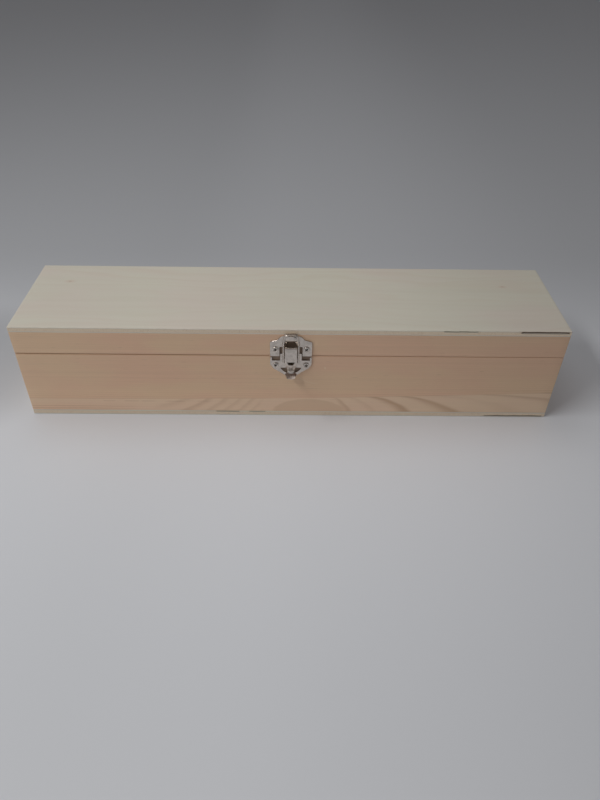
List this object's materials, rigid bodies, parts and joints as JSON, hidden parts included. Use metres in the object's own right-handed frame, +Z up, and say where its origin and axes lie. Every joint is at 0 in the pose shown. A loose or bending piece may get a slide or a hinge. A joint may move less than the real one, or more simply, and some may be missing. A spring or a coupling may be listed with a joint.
{
  "type": "wooden wine box",
  "caption": "Long slim pine box with plywood top and bottom, a full-length lid on rear butt hinges and a nickel toggle latch in front, made to hold one bottle lying down.",
  "frame": {"origin": "middle of the box's footprint, on the surface that it stands on", "axes": "+X along the box towards its right end as seen from the latch, +Y from the latch side to the hinge side, +Z up"},
  "size_m": [0.42, 0.1089, 0.084],
  "materials": {
    "pine": "planed and sanded, untreated",
    "plywood": "sanded face veneer, untreated",
    "nickel": "bright nickel plate on stamped steel",
    "screw_steel": "plated steel"
  },
  "bodies": {
    "box": {"bottom_panel": "plywood", "front_board": "pine", "back_board": "pine", "left_end_board": "pine", "right_end_board": "pine", "latch_base_plate": "nickel", "latch_base_screws": "screw_steel", "latch_lever_pin": "screw_steel", "hinge_left_box_leaf": "nickel", "hinge_left_pin": "screw_steel", "hinge_left_box_screws": "screw_steel", "hinge_right_box_leaf": "nickel", "hinge_right_pin": "screw_steel", "hinge_right_box_screws": "screw_steel"},
    "lid": {"lid_top_panel": "plywood", "lid_front_rail": "pine", "lid_back_rail": "pine", "lid_left_rail": "pine", "lid_right_rail": "pine", "latch_hook_plate": "nickel", "latch_hook_screws": "screw_steel", "hinge_left_lid_leaf": "nickel", "hinge_left_lid_screws": "screw_steel", "hinge_right_lid_leaf": "nickel", "hinge_right_lid_screws": "screw_steel"},
    "lever": {"latch_lever": "nickel"},
    "bail": {"latch_bail": "nickel"}
  },
  "joints": [
    {"name": "lid_hinge", "type": "hinge", "parent": "box", "child": "lid", "pos_m": [0, 0.0505, 0.06015], "axis": [-1, 0, 0], "range_deg": [0, 180]},
    {"name": "latch_lever", "type": "hinge", "parent": "box", "child": "lever", "pos_m": [0, -0.0522, 0.0692], "axis": [-1, 0, 0], "range_deg": [0, 150]},
    {"name": "bail_pivot", "type": "hinge", "parent": "lever", "child": "bail", "pos_m": [0, -0.052, 0.0567], "axis": [-1, 0, 0], "range_deg": [-150, 0]}
  ],
  "couplings": [
    {"joint": "bail_pivot", "follows": "latch_lever", "ratio": -1}
  ]
}
